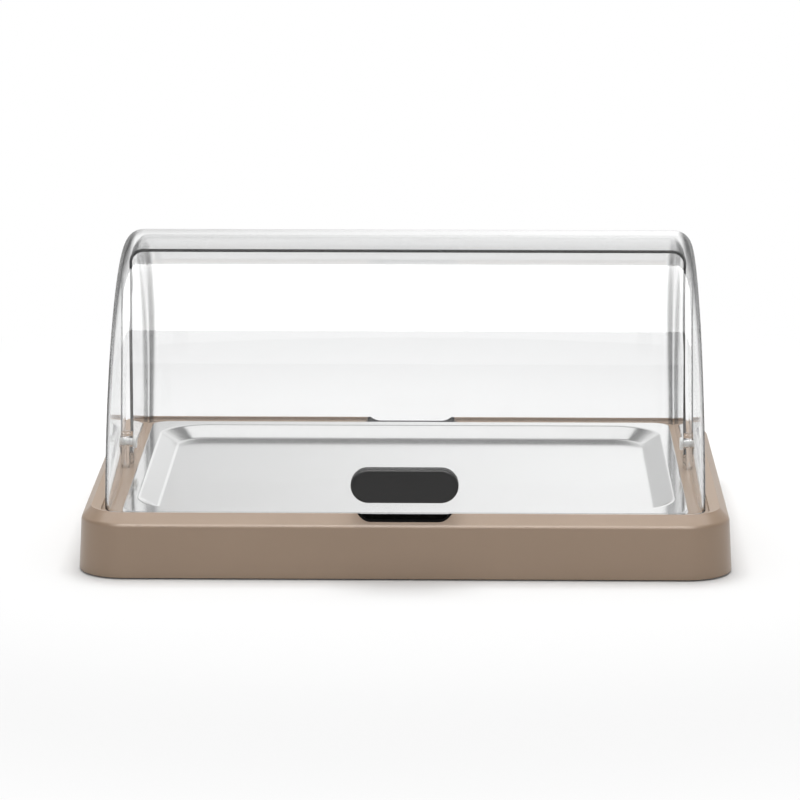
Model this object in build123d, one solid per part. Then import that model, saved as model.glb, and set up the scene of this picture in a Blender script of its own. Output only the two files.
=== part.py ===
from build123d import *
import os
from math import atan2, cos, degrees, radians, sin, tan

# Buffet display case: a cooled serving tray under a clear roll-top dome.
# The origin is on the table under the middle of the case, with +X to the right,
# +Y to the back and +Z up. All sizes are in millimetres and all angles in degrees.

# Base: a moulded shell whose skirt leans in from the table to a sloping rim
base_length = 440.0
base_depth = 320.0
base_corner = 32.0
base_draft = 3.0
rim_height = 44.2
rim_slope_run = 6.6
rim_slope_drop = 7.5
rim_round = 5.0
shell_wall = 3.0
skirt_gap = 1.0
ledge_drop = 2.8

# Bottom plate, its screws and the four push-in rubber feet
foot_pad = 1.5
foot_radius = 9.0
foot_stem_radius = 3.0
foot_inset = 30.0
foot_edge_round = 0.6
plate_thickness = 2.5
plate_edge_gap = 0.3
plate_headroom = 1.0
plate_screw_radius = 1.5
plate_screw_bite = 9.0
plate_screw_head_radius = 3.2
plate_screw_head_height = 1.7
plate_pilot_spare = 1.0
plate_boss_radius = 4.0
side_boss_spread = 75.0
front_boss_spread = 110.0

# Dome: two nested quarter shells round one pivot line, with ends that lean in upwards
pivot_height = 58.5
cover_margin_front = 9.5
cover_margin_side = 18.6
cover_wall = 2.1
cover_draft = 1.2
cover_nest_gap = 2.3
front_cover_edge_round = 13.0
rear_cover_edge_round = 10.5
front_cover_back_angle = 4.0
rear_cover_front_angle = 13.0
cover_rest_gap = 0.15
front_ear_radius = 9.0
rear_ear_radius = 8.0
recess_gap = 0.5
recess_corner = 13.5

# Pivots: a clear fork on each side, a pin through it and a knob on the pin inside
bracket_width = 16.0
bracket_sole = 2.0
bracket_rest_overlap = 3.0
outer_cheek = 2.1
middle_cheek = 2.4
cheek_gap = 0.3
bracket_clearance = 0.15
tongue_width = 14.0
tongue_depth = 6.0
tongue_inset = 1.1
slot_clearance = 0.15
pin_radius = 2.5
pin_clearance = 0.05
pin_head_radius = 3.8
pin_head_height = 1.2
knob_radius = 4.5
knob_thickness = 2.1
knob_cap = 0.7
knob_grip_clearance = 0.02

# Handle: a black bar screwed on from inside the front cover
handle_length = 72.0
handle_height = 23.0
handle_rise = 5.4
handle_depth = 9.0
handle_edge_round = 4.0
handle_seat_gap = 0.05
handle_screw_spread = 48.0
handle_screw_radius = 1.7
handle_screw_head_radius = 3.4
handle_screw_pass_gap = 0.7
handle_screw_bite = 6.5
handle_screw_end_gap = 0.5
washer_radius = 4.5
washer_thickness = 0.5
washer_seat_gap = 0.1
thread_clearance = 0.02
screw_hole_clearance = 0.2

# Serving tray: pressed steel sheet with a hemmed flange and a shallow sloping basin
tray_sheet = 0.8
tray_knob_gap = 0.5
tray_cover_gap = 1.8
tray_corner = 10.0
tray_hem = 1.2
tray_side_flange = 8.7
tray_end_flange = 12.5
tray_slope_run = 12.8
tray_slope_drop = 7.5
basin_corner_top = 33.0
basin_corner_floor = 22.0
basin_cut_rise = 1.0
well_clearance = 0.7
well_corner = 20.0

# Freezer packs that lie side by side on the floor of the well
pack_gap = 2.0
pack_end_gap = 5.0
pack_middle_gap = 6.0
pack_headroom = 3.0
pack_corner = 12.0
pack_edge_round = 4.0
cap_radius = 10.0
cap_recess = 5.0
cap_disc = 2.5
cap_bar_length = 16.0
cap_bar_width = 2.5
cap_bar_height = 2.5
cap_clearance = 0.3
cap_inset = 24.0

# Finger cups: black liners in the front and rear rim, open under the covers' edges
cup_length = 68.5
cup_width = 23.5
cup_wall = 1.3
cup_depth = 18.0
cup_rim_inset = 4.2
cup_clearance = 0.1
cup_pocket_wall = 2.0

# Heights that follow
ledge_height = rim_height - ledge_drop
plate_bottom = foot_pad
plate_top = plate_bottom + plate_thickness
well_floor_bottom = plate_top + plate_headroom
well_floor = well_floor_bottom + shell_wall
tray_top = ledge_height + tray_hem
tray_floor = tray_top - tray_slope_drop
pack_top = tray_floor - tray_sheet - pack_headroom
cup_bottom = rim_height - cup_depth
sole_top = ledge_height + bracket_sole
cover_bottom = sole_top + cover_rest_gap

# The row of pieces along the pivot line, from the front cover outwards and inwards
draft_slope = tan(radians(cover_draft))
pivot_rise = pivot_height - ledge_height
swing_sway = (pivot_rise + 1.0) * draft_slope
front_radius = base_depth / 2 - cover_margin_front
front_half = base_length / 2 - cover_margin_side
front_half_at_pivot = front_half - pivot_rise * draft_slope
outer_cheek_in = front_half_at_pivot + swing_sway + cheek_gap
outer_cheek_out = outer_cheek_in + outer_cheek
middle_cheek_out = front_half_at_pivot - cover_wall - swing_sway - cheek_gap
middle_cheek_in = middle_cheek_out - middle_cheek
rear_radius = front_radius - cover_wall - cover_nest_gap
rear_half = middle_cheek_in - bracket_clearance
rear_half_at_pivot = rear_half - pivot_rise * draft_slope
knob_out = rear_half_at_pivot - cover_wall - knob_radius * draft_slope - bracket_clearance
knob_in = knob_out - knob_thickness

# Plan sizes that follow, each a half length along X or a half depth along Y
recess_half_x = outer_cheek_out + cheek_gap
recess_half_y = front_radius + recess_gap
tray_half_x = knob_in - tray_knob_gap
tray_half_y = rear_radius - cover_wall - tray_cover_gap
basin_half_x = tray_half_x - tray_side_flange
basin_half_y = tray_half_y - tray_end_flange
slope_per_mm = tray_slope_run / tray_slope_drop
well_half_x = basin_half_x - (tray_hem - tray_sheet) * slope_per_mm + well_clearance
well_half_y = basin_half_y - (tray_hem - tray_sheet) * slope_per_mm + well_clearance
lean = tan(radians(base_draft))
rim_slope = atan2(rim_slope_run, rim_slope_drop)
skirt_in_x = base_length / 2 - shell_wall - ledge_height * lean
skirt_in_y = base_depth / 2 - shell_wall - ledge_height * lean
side_boss_x = (well_half_x + shell_wall + skirt_in_x) / 2
front_boss_y = (well_half_y + shell_wall + skirt_in_y) / 2
foot_x = base_length / 2 - foot_inset
foot_y = base_depth / 2 - foot_inset
cup_y = base_depth / 2 - cup_rim_inset - cup_width / 2
pack_length = well_half_x - pack_gap - pack_middle_gap / 2
pack_depth = 2 * (well_half_y - pack_end_gap)
pack_x = (pack_middle_gap + pack_length) / 2
handle_z = pivot_height + handle_rise
washer_out_y = -(front_radius - cover_wall - washer_seat_gap)
screw_head_out_y = washer_out_y + washer_thickness
screw_head_in_y = -(rear_radius + handle_screw_pass_gap)
sheet_out = tray_sheet * tan(atan2(tray_slope_drop, tray_slope_run) / 2)
far = 2 * base_length
cut_past = 1.0

left_and_right = {"left": -1, "right": 1}
boss_places = [(sx * side_boss_x, sy * side_boss_spread) for sx in (-1, 1) for sy in (-1, 1)]
boss_places += [(sx * front_boss_spread, sy * front_boss_y) for sx in (-1, 1) for sy in (-1, 1)]
handle_screw_places = [-handle_screw_spread / 2, handle_screw_spread / 2]


def plate(half_x, half_y, corner, bottom, top):
    """An upright block with rounded corners, centred on the origin."""
    outline = RectangleRounded(2 * half_x, 2 * half_y, corner)
    return Pos(0, 0, bottom) * extrude(outline, top - bottom)


def upright_rod(x, y, radius, bottom, top):
    """An upright cylinder between two heights."""
    return Pos(x, y, (bottom + top) / 2) * Cylinder(radius, top - bottom)


def rod_along_x(radius, start, end):
    """A cylinder on the pivot line between two places along X."""
    middle = Pos((start + end) / 2, 0, pivot_height)
    return middle * Rot(0, 90, 0) * Cylinder(radius, abs(end - start))


def rod_along_y(x, radius, start, end):
    """A cylinder at the handle screws' height between two places along Y."""
    middle = Pos(x, (start + end) / 2, pivot_height)
    return middle * Rot(90, 0, 0) * Cylinder(radius, abs(end - start))


def skirt_form(inset, top, shoulder_round):
    """The base's leaning outer form with its sloping rim, drawn in on all sides by the inset."""
    shoulder = rim_height - rim_slope_drop - inset * tan((rim_slope - radians(base_draft)) / 2)
    drawn_in = inset + (shoulder - skirt_gap) * lean
    foot = RectangleRounded(base_length - 2 * inset, base_depth - 2 * inset, base_corner - inset)
    neck = RectangleRounded(
        base_length - 2 * drawn_in, base_depth - 2 * drawn_in, base_corner - drawn_in
    )
    skirt = Pos(0, 0, skirt_gap) * extrude(foot, shoulder - skirt_gap, taper=base_draft)
    rim = Pos(0, 0, shoulder) * extrude(neck, top - shoulder, taper=degrees(rim_slope))
    block = skirt + rim
    edges = block.edges().filter_by(lambda edge: abs(edge.center().Z - shoulder) < 0.01)
    return fillet(edges, shoulder_round)


def stadium_block(centre_y, grow, bottom, top):
    """An upright block with the finger cup's outline, grown on all sides."""
    outline = SlotOverall(cup_length + 2 * grow, cup_width + 2 * grow)
    return Pos(0, centre_y, bottom) * extrude(outline, top - bottom)


def rim_surface_form():
    """The base's outside, with the sunk ledge that the covers close on."""
    recess = plate(recess_half_x, recess_half_y, recess_corner, ledge_height, rim_height + cut_past)
    return skirt_form(0, rim_height, rim_round) - recess


def base_shell(outside):
    """The moulded shell: skirt, rim, ledge, well, screw bosses and the cups' pockets."""
    under_rim = rim_height - shell_wall
    under_ledge = ledge_height - shell_wall
    hollow = skirt_form(shell_wall, under_rim, rim_round - shell_wall)
    hollow -= plate(
        recess_half_x + shell_wall,
        recess_half_y + shell_wall,
        recess_corner + shell_wall,
        under_ledge,
        rim_height,
    )
    hollow -= plate(
        well_half_x + shell_wall,
        well_half_y + shell_wall,
        well_corner + shell_wall,
        well_floor_bottom,
        rim_height,
    )
    for x, y in boss_places:
        hollow -= upright_rod(x, y, plate_boss_radius, plate_top, rim_height)
    for side in (-1, 1):
        pocket_grow = cup_clearance + cup_pocket_wall
        pocket_bottom = cup_bottom - cup_pocket_wall
        hollow -= stadium_block(side * cup_y, pocket_grow, pocket_bottom, rim_height)
    shell = outside - hollow
    shell -= plate(well_half_x, well_half_y, well_corner, well_floor, rim_height + cut_past)
    for side in (-1, 1):
        shell -= stadium_block(side * cup_y, cup_clearance, cup_bottom, rim_height + cut_past)
        shell -= tongue(side, slot_clearance)
    pilot = plate_screw_radius + thread_clearance
    pilot_end = plate_top + plate_screw_bite + plate_pilot_spare
    for x, y in boss_places:
        shell -= upright_rod(x, y, pilot, skirt_gap, pilot_end)
    return shell


def finger_cup(side, outside):
    """A black liner whose edge lies flush in the rim and the ledge."""
    inside_top = rim_height + cut_past
    cup = stadium_block(side * cup_y, 0, cup_bottom, inside_top)
    cup -= stadium_block(side * cup_y, -cup_wall, cup_bottom + cup_wall, inside_top)
    return cup & outside


def countersunk_screw(x, y):
    """One screw of the bottom plate, with its head flush with the plate's underside."""
    head = Pos(x, y, plate_bottom + plate_screw_head_height / 2) * Cone(
        plate_screw_head_radius, plate_screw_radius, plate_screw_head_height
    )
    return head + upright_rod(x, y, plate_screw_radius, plate_bottom, plate_top + plate_screw_bite)


def plate_screws():
    """The screws that hold the bottom plate, as one group."""
    return Compound([countersunk_screw(x, y) for x, y in boss_places])


def bottom_plate():
    """The flat plate that closes the base from below."""
    inset = shell_wall + plate_edge_gap + plate_top * lean
    outline_x = base_length / 2 - inset
    outline_y = base_depth / 2 - inset
    sheet = plate(outline_x, outline_y, base_corner - inset, plate_bottom, plate_top)
    hole = plate_screw_radius + screw_hole_clearance
    sink_small = plate_screw_radius + thread_clearance
    sink_large = plate_screw_head_radius + thread_clearance
    for x, y in boss_places:
        sheet -= upright_rod(x, y, hole, plate_bottom, plate_top)
        sheet -= Pos(x, y, plate_bottom + plate_screw_head_height / 2) * Cone(
            sink_large, sink_small, plate_screw_head_height
        )
    for sx in (-1, 1):
        for sy in (-1, 1):
            stem_hole = foot_stem_radius + thread_clearance
            sheet -= upright_rod(sx * foot_x, sy * foot_y, stem_hole, plate_bottom, plate_top)
    return sheet


def rubber_foot(sx, sy):
    """A round pad with a stem that is pushed into the bottom plate."""
    x, y = sx * foot_x, sy * foot_y
    pad = upright_rod(x, y, foot_radius, 0, foot_pad)
    pad = fillet(pad.faces().sort_by(Axis.Z)[0].edges(), foot_edge_round)
    return pad + upright_rod(x, y, foot_stem_radius, foot_pad, plate_top + plate_headroom / 2)


def freezer_pack(side):
    """A flat filled pack with a round recess for its filler cap."""
    block = plate(pack_length / 2, pack_depth / 2, pack_corner, well_floor, pack_top)
    block = fillet(block.edges().group_by(Axis.Z)[-1], pack_edge_round)
    block = fillet(block.edges().group_by(Axis.Z)[0], pack_edge_round)
    block = Pos(side * pack_x, 0, 0) * block
    x, y = cap_place(side)
    return block - upright_rod(x, y, cap_radius + cap_clearance, pack_top - cap_recess, pack_top)


def cap_place(side):
    """Where a pack's filler cap sits: in the front outer corner."""
    x = side * (pack_x + pack_length / 2 - cap_inset)
    return x, -(pack_depth / 2 - cap_inset)


def filler_cap(side):
    """The screw cap of a freezer pack, with a bar across it to turn it by."""
    x, y = cap_place(side)
    floor = pack_top - cap_recess
    disc_top = floor + cap_disc
    cap = upright_rod(x, y, cap_radius, floor, disc_top)
    bar = Box(cap_bar_length, cap_bar_width, cap_bar_height)
    return cap + Pos(x, y, disc_top + cap_bar_height / 2) * bar


def basin_form(grow, sink):
    """The tray's basin as a solid, grown sideways and sunk by a sheet's thickness."""
    top_z = tray_top - sink + basin_cut_rise
    reach = slope_per_mm * basin_cut_rise
    upper = RectangleRounded(
        2 * (basin_half_x + reach + grow),
        2 * (basin_half_y + reach + grow),
        basin_corner_top + reach + grow,
    )
    lower = RectangleRounded(
        2 * (basin_half_x - tray_slope_run + grow),
        2 * (basin_half_y - tray_slope_run + grow),
        basin_corner_floor + grow,
    )
    return loft([Pos(0, 0, tray_floor - sink) * lower, Pos(0, 0, top_z) * upper], ruled=True)


def serving_tray():
    """The pressed tray: flange, hem turned down at its edge, and basin."""
    under_flange = tray_top - tray_sheet
    rim = plate(tray_half_x, tray_half_y, tray_corner, ledge_height, tray_top)
    rim -= plate(
        tray_half_x - tray_sheet,
        tray_half_y - tray_sheet,
        tray_corner - tray_sheet,
        ledge_height - cut_past,
        under_flange,
    )
    below_flange = plate(tray_half_x, tray_half_y, tray_corner, 0, tray_top)
    return rim + (basin_form(sheet_out, tray_sheet) & below_flange) - basin_form(0, 0)


def arch(radius, half_length, edge_round, floor):
    """A block under a half cylinder round the pivot line, with upright front and back."""
    top = pivot_height + radius
    bed = Pos(0, (floor + pivot_height) / 2) * Rectangle(2 * radius, pivot_height - floor)
    above_floor = Pos(0, (floor + top) / 2) * Rectangle(2 * radius, top - floor)
    side_view = (Pos(0, pivot_height) * Circle(radius) + bed) & above_floor
    block = extrude(Plane.YZ * side_view, half_length + radius, both=True)
    half_floor = half_length - (floor - ledge_height) * draft_slope
    half_top = half_length - (top - ledge_height) * draft_slope
    front_view = Polygon(
        (-half_floor, floor), (half_floor, floor), (half_top, top), (-half_top, top), align=None
    )
    block &= extrude(Plane.XZ * front_view, 2 * radius, both=True)
    ends = block.faces().filter_by(lambda face: abs(face.normal_at().X) > 0.9)
    edges = ends.edges().filter_by(lambda edge: edge.center().Z > floor + 0.01)
    return fillet(edges, edge_round)


def cover_shell(radius, half_length, edge_round, floor):
    """The arch as a clear wall that is open below."""
    below = floor - 2 * cover_wall
    inside = arch(radius - cover_wall, half_length - cover_wall, edge_round - cover_wall, below)
    return arch(radius, half_length, edge_round, floor) - inside


def side_cut(corners, ear_radius):
    """A keep-zone seen from the side, with an ear round the pivot line."""
    zone = Polygon(*corners, align=None) + Pos(0, pivot_height) * Circle(ear_radius)
    return extrude(Plane.YZ * zone, far, both=True)


def front_cover():
    """The outer quarter shell, which rolls back over the rear one and rests on the forks."""
    angle = radians(front_cover_back_angle)
    strip_end = bracket_rest_overlap - bracket_width / 2
    corners = [
        (0, pivot_height),
        (far * sin(angle), pivot_height + far * cos(angle)),
        (-far, pivot_height + far * cos(angle)),
        (-far, cover_bottom),
        (strip_end, cover_bottom),
        (strip_end, pivot_height),
    ]
    shell = cover_shell(front_radius, front_half, front_cover_edge_round, cover_bottom)
    cover = shell & side_cut(corners, front_ear_radius)
    cover -= rod_along_x(pin_radius + pin_clearance, -far, far)
    for x in handle_screw_places:
        hole = handle_screw_radius + screw_hole_clearance
        cover -= rod_along_y(x, hole, -far, 0)
    return cover


def rear_cover():
    """The inner quarter shell, which stands on the ledge."""
    angle = radians(rear_cover_front_angle)
    corners = [
        (pivot_rise * tan(angle), ledge_height),
        (far, ledge_height),
        (far, pivot_height + far * cos(angle)),
        (-far * sin(angle), pivot_height + far * cos(angle)),
    ]
    shell = cover_shell(rear_radius, rear_half, rear_cover_edge_round, ledge_height)
    cover = shell & side_cut(corners, rear_ear_radius)
    return cover - rod_along_x(pin_radius + pin_clearance, -far, far)


def block_along_x(side, inner, outer, width, bottom, top):
    """A box on one side of the case between two places along X."""
    middle = Pos(side * (inner + outer) / 2, 0, (bottom + top) / 2)
    return middle * Box(outer - inner, width, top - bottom)


def tongue(side, grow):
    """The bracket's tongue, or with a grow the slot that it drops into."""
    inner = middle_cheek_in + tongue_inset - grow
    outer = outer_cheek_out - tongue_inset + grow
    width = tongue_width + 2 * grow
    return block_along_x(side, inner, outer, width, ledge_height - tongue_depth, ledge_height)


def cheek(side, inner, outer):
    """One upright of the fork, rounded off over the pivot line."""
    upright = block_along_x(side, inner, outer, bracket_width, ledge_height, pivot_height)
    return upright + rod_along_x(bracket_width / 2, side * inner, side * outer)


def pivot_bracket(side):
    """The clear fork that stands on the ledge and holds both covers' pivot."""
    fork = cheek(side, outer_cheek_in, outer_cheek_out)
    fork += cheek(side, middle_cheek_in, middle_cheek_out)
    fork += block_along_x(
        side, middle_cheek_in, outer_cheek_out, bracket_width, ledge_height, sole_top
    )
    fork += tongue(side, 0)
    head_seat = outer_cheek_out - pin_head_height - bracket_clearance
    fork -= rod_along_x(pin_radius + pin_clearance, 0, side * far)
    return fork - rod_along_x(pin_head_radius + pin_clearance, side * head_seat, side * far)


def pivot_pin(side):
    """The headed pin that both covers hang on."""
    head_in = outer_cheek_out - pin_head_height
    shank = rod_along_x(pin_radius, side * (knob_in + knob_cap), side * outer_cheek_out)
    return shank + rod_along_x(pin_head_radius, side * head_in, side * outer_cheek_out)


def pivot_knob(side):
    """The closed knob on the pin's inner end."""
    knob = rod_along_x(knob_radius, side * knob_in, side * knob_out)
    bore = pin_radius + knob_grip_clearance
    return knob - rod_along_x(bore, side * (knob_in + knob_cap), side * knob_out)


def front_handle():
    """The black bar on the front cover, shaped to its curve at the back."""
    face_y = -(front_radius + handle_depth)
    back_y = -(front_radius - handle_depth)
    outline = Plane.XZ * SlotOverall(handle_length, handle_height)
    bar = Pos(0, back_y, handle_z) * extrude(outline, back_y - face_y)
    bar = fillet(bar.faces().sort_by(Axis.Y)[0].edges(), handle_edge_round)
    seat = front_radius + handle_seat_gap
    bar -= arch(seat, handle_length, handle_edge_round, cover_bottom)
    bore_end = -(front_radius + handle_screw_bite + handle_screw_end_gap)
    for x in handle_screw_places:
        bar -= rod_along_y(x, handle_screw_radius + thread_clearance, bore_end, back_y)
    return bar


def handle_washers():
    """The washers that spread the handle screws' load, as one group."""
    hole = handle_screw_radius + thread_clearance
    rings = []
    for x in handle_screw_places:
        disc = rod_along_y(x, washer_radius, washer_out_y, screw_head_out_y)
        rings.append(disc - rod_along_y(x, hole, washer_out_y, screw_head_out_y))
    return Compound(rings)


def handle_screws():
    """The two screws that go through the front cover into the handle, as one group."""
    shank_end = -(front_radius + handle_screw_bite)
    screws = []
    for x in handle_screw_places:
        head = rod_along_y(x, handle_screw_head_radius, screw_head_out_y, screw_head_in_y)
        shank = rod_along_y(x, handle_screw_radius, shank_end, screw_head_out_y)
        screws.append(head + shank)
    return Compound(screws)


outside = rim_surface_form()
nodes = {
    "base_shell": base_shell(outside),
    "bottom_plate": bottom_plate(),
    "bottom_plate_screws": plate_screws(),
    "front_finger_cup": finger_cup(-1, outside),
    "rear_finger_cup": finger_cup(1, outside),
    "serving_tray": serving_tray(),
    "front_cover": front_cover(),
    "rear_cover": rear_cover(),
    "front_handle": front_handle(),
    "handle_washers": handle_washers(),
    "handle_screws": handle_screws(),
}
for name, side in left_and_right.items():
    nodes[f"freezer_pack_{name}"] = freezer_pack(side)
    nodes[f"filler_cap_{name}"] = filler_cap(side)
    nodes[f"pivot_bracket_{name}"] = pivot_bracket(side)
    nodes[f"pivot_pin_{name}"] = pivot_pin(side)
    nodes[f"pivot_knob_{name}"] = pivot_knob(side)
    nodes[f"rubber_foot_front_{name}"] = rubber_foot(side, -1)
    nodes[f"rubber_foot_rear_{name}"] = rubber_foot(side, 1)

os.makedirs("parts", exist_ok=True)
for name, shape in nodes.items():
    export_step(shape, f"parts/{name}.step")
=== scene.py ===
from math import asin, cos, pi, radians, sin, sqrt, tan

import bmesh
import bpy
from mathutils import Matrix, Vector


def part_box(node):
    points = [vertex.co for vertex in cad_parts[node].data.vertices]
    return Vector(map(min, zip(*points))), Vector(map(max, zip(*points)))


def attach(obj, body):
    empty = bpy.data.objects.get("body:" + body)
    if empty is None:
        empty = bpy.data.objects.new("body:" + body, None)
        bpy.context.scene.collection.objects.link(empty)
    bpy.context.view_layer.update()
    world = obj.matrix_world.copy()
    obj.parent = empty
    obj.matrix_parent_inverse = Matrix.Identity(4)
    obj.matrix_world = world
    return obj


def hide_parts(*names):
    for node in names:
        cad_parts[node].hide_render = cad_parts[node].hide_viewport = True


# A cooled buffet display case: a clear roll-top dome over a steel tray in a taupe base.
# All sizes are in metres. +X is the case's right, +Y its back and +Z up, and the origin is
# on the table under its middle.

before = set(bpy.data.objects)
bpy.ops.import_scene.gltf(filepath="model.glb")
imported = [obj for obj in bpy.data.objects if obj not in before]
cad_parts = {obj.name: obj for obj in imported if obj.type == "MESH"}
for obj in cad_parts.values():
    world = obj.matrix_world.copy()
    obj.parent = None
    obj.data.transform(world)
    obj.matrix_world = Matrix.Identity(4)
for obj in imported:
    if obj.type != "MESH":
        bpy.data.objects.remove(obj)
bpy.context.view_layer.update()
scene = bpy.context.scene
scene.view_settings.view_transform = "Standard"
scene.cycles.use_denoising = True
scene.cycles.max_bounces = 16
scene.cycles.transmission_bounces = 16
scene.cycles.transparent_max_bounces = 16

# Camera: a long lens almost three metres in front of the case, a little to its right,
# that looks down on it.
camera_data = bpy.data.cameras.new("camera")
camera_data.lens = 180.2
camera_data.sensor_width = 36.0
camera_data.clip_end = 60.0
camera = bpy.data.objects.new("camera", camera_data)
camera.location = (0.0406, -2.7482, 0.6774)
camera.rotation_euler = (radians(77.92), 0, radians(0.964))
scene.collection.objects.link(camera)
scene.camera = camera


# Table: one wide white sheet under the case. Near the case it takes the soft shadow, and
# farther off it is plain white. Seen through the clear covers, the table near the case is
# painted a shade darker: a painted reflection that stands in for a dark reflection in the rear
# cover.
class Value:
    """A number in a node tree, which Python's operators extend by Math nodes."""

    def __init__(self, shader, socket):
        self.shader = shader
        self.socket = socket

    def maths(self, operation, second=0.0, first=None):
        inputs = {0: self if first is None else first, 1: second}
        return self.shader.node("ShaderNodeMath", inputs, operation=operation)

    def __add__(self, other):
        return self.maths("ADD", other)

    def __mul__(self, other):
        return self.maths("MULTIPLY", other)

    def __sub__(self, other):
        return self.maths("SUBTRACT", other)

    def __rsub__(self, other):
        return self.maths("SUBTRACT", self, first=other)

    __radd__ = __add__
    __rmul__ = __mul__

    def __abs__(self):
        return self.maths("ABSOLUTE")

    def larger(self, other):
        return self.maths("MAXIMUM", other)

    def rise(self, low, high, bottom=0.0, top=1.0):
        """A smooth step from the bottom value at low to the top value at high."""
        return self.shader.node(
            "ShaderNodeMapRange",
            {"Value": self, "From Min": low, "From Max": high, "To Min": bottom, "To Max": top},
            interpolation_type="SMOOTHSTEP",
        )


class Shader:
    """A node tree that is written from empty, with one method for any node."""

    def __init__(self, owner):
        owner.use_nodes = True
        self.tree = owner.node_tree
        self.tree.nodes.clear()

    def node(self, kind, inputs=None, output=0, **settings):
        made = self.tree.nodes.new(kind)
        for name, value in settings.items():
            setattr(made, name, value)
        for name, value in (inputs or {}).items():
            if isinstance(value, Value):
                self.tree.links.new(value.socket, made.inputs[name])
            else:
                made.inputs[name].default_value = value
        return Value(self, made.outputs[output]) if made.outputs else None

    def mix(self, factor, first, second):
        """A colour between two colours."""
        sides = {0: factor, 6: first, 7: second}
        return self.node("ShaderNodeMix", sides, output=2, data_type="RGBA")

    def place(self):
        """The piece's own coordinates, in metres."""
        return self.node("ShaderNodeTexCoord", output=3)

    def axis(self, vector, index):
        return self.node("ShaderNodeSeparateXYZ", {0: vector}, output=index)

    def noise(self, size, detail=2.0, stretch=(1, 1, 1)):
        """Noise from 0 to 1 whose grains have about that size, wider where stretch is under 1."""
        scaled = self.node(
            "ShaderNodeVectorMath", {0: self.place(), 1: stretch}, operation="MULTIPLY"
        )
        inputs = {"Vector": scaled, "Scale": 1.0 / size, "Detail": detail}
        return self.node("ShaderNodeTexNoise", inputs)

    def bump(self, height, depth):
        """A relief that is depth metres high where height is one."""
        inputs = {"Strength": 1.0, "Distance": depth, "Height": height}
        return self.node("ShaderNodeBump", inputs)

    def ray(self, *kinds):
        """One where the ray is of one of the kinds, and zero elsewhere."""
        total = None
        for kind in kinds:
            path = self.tree.nodes.new("ShaderNodeLightPath")
            found = Value(self, path.outputs[kind])
            total = found if total is None else total.larger(found)
        return total

    def finish(self, surface, kind="ShaderNodeOutputMaterial"):
        self.node(kind, {"Surface": surface})


def white(level):
    return (level, level, level, 1.0)


seen_rays = ("Is Camera Ray", "Is Glossy Ray", "Is Transmission Ray")
table_reach = 14.0
table_albedo = 0.8
seen_albedo = 0.68
table_glow = 0.03
shadow_reach = (0.42, 0.75)
painted_reflection_reach = (0.695, 0.705)
painted_reflection_level = 0.05
table_mesh = bpy.data.meshes.new("table")
table_corners = [(-1, -1), (1, -1), (1, 1), (-1, 1)]
table_mesh.from_pydata(
    [(table_reach * x, table_reach * y, 0) for x, y in table_corners], [], [(0, 1, 2, 3)]
)
table = bpy.data.objects.new("table", table_mesh)
scene.collection.objects.link(table)
table_material = bpy.data.materials.new("table_white")
table_mesh.materials.append(table_material)
shader = Shader(table_material)
distance = shader.node("ShaderNodeVectorMath", {0: shader.place()}, output=1, operation="LENGTH")
matt = shader.node("ShaderNodeBsdfDiffuse", {"Color": white(table_albedo)})
seen_matt = shader.node("ShaderNodeBsdfDiffuse", {"Color": white(seen_albedo)})
glow = shader.node("ShaderNodeEmission", {"Color": white(table_glow)})
near = shader.node("ShaderNodeAddShader", {0: seen_matt, 1: glow})
plain = shader.node("ShaderNodeEmission", {"Color": white(1.0)})
seen = shader.node("ShaderNodeMixShader", {0: distance.rise(*shadow_reach), 1: near, 2: plain})
black = shader.node("ShaderNodeEmission", {"Color": white(0.0)})
# Painted reflection: through the covers the near table is mixed a little towards black.
painted_reflection_mask = shader.ray("Is Transmission Ray") * (painted_reflection_level - distance.rise(*painted_reflection_reach, 0, painted_reflection_level))
seen = shader.node("ShaderNodeMixShader", {0: painted_reflection_mask, 1: seen, 2: black})
shader.finish(shader.node("ShaderNodeMixShader", {0: shader.ray(*seen_rays), 1: matt, 2: seen}))

# Studio: a soft room that is white where it is seen. Two darker flags low at the sides draw
# the clear dome's edges, and a panel low behind the case shades from left to right.
room_fill = 0.5
flag_level = 0.2
flag_edge, flag_foot, flag_head = (0.45, 0.7), (0.05, 0.15), (0.5, 0.75)
panel_edge, panel_head = (0.1, 0.3), (0.8, 0.86)
left_level, middle_level, right_drop = 0.62, 1.1, 0.35
left_edge, right_edge = (-0.14, 0.05), (0.09, 0.2)
high_level, high_edge = 0.92, (0.24, 0.34)
gap_level, gap_edge = 0.12, (0.38, 0.8)
scene.world = scene.world or bpy.data.worlds.new("room")
shader = Shader(scene.world)
direction = shader.node("ShaderNodeTexCoord", output=0)
across = shader.axis(direction, 0)
height = shader.axis(direction, 2)
flag = abs(across).rise(*flag_edge) * height.rise(*flag_foot) * (1 - height.rise(*flag_head))
behind = shader.axis(direction, 1).rise(*panel_edge) * (1 - height.rise(*panel_head))
panel = across.rise(*left_edge, left_level, middle_level)
panel = panel - across.rise(*right_edge, 0, right_drop)
panel = panel + (high_level - panel) * height.rise(*high_edge)
panel = panel + (gap_level - panel) * height.rise(*gap_edge)
room = 1 - flag * (1 - flag_level)
room = room + (panel - room) * behind
camera_ray = shader.ray("Is Camera Ray")
seen_ray = shader.ray(*seen_rays)
level = camera_ray.larger(room_fill + seen_ray * (room - room_fill))
sky = shader.node("ShaderNodeBackground", {"Color": white(1.0), "Strength": level})
shader.finish(sky, "ShaderNodeOutputWorld")


def softbox(name, place, turn, size, level, glossy):
    """A lamp panel of that radiance. Only a glossy one shows in reflections."""
    data = bpy.data.lights.new(name, "AREA")
    data.shape = "RECTANGLE"
    data.size, data.size_y = size
    data.energy = level * pi * size[0] * size[1]
    lamp = bpy.data.objects.new(name, data)
    lamp.location = place
    lamp.rotation_euler = turn
    lamp.visible_glossy = glossy
    lamp.visible_camera = False
    lamp.visible_transmission = False
    scene.collection.objects.link(lamp)


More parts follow.
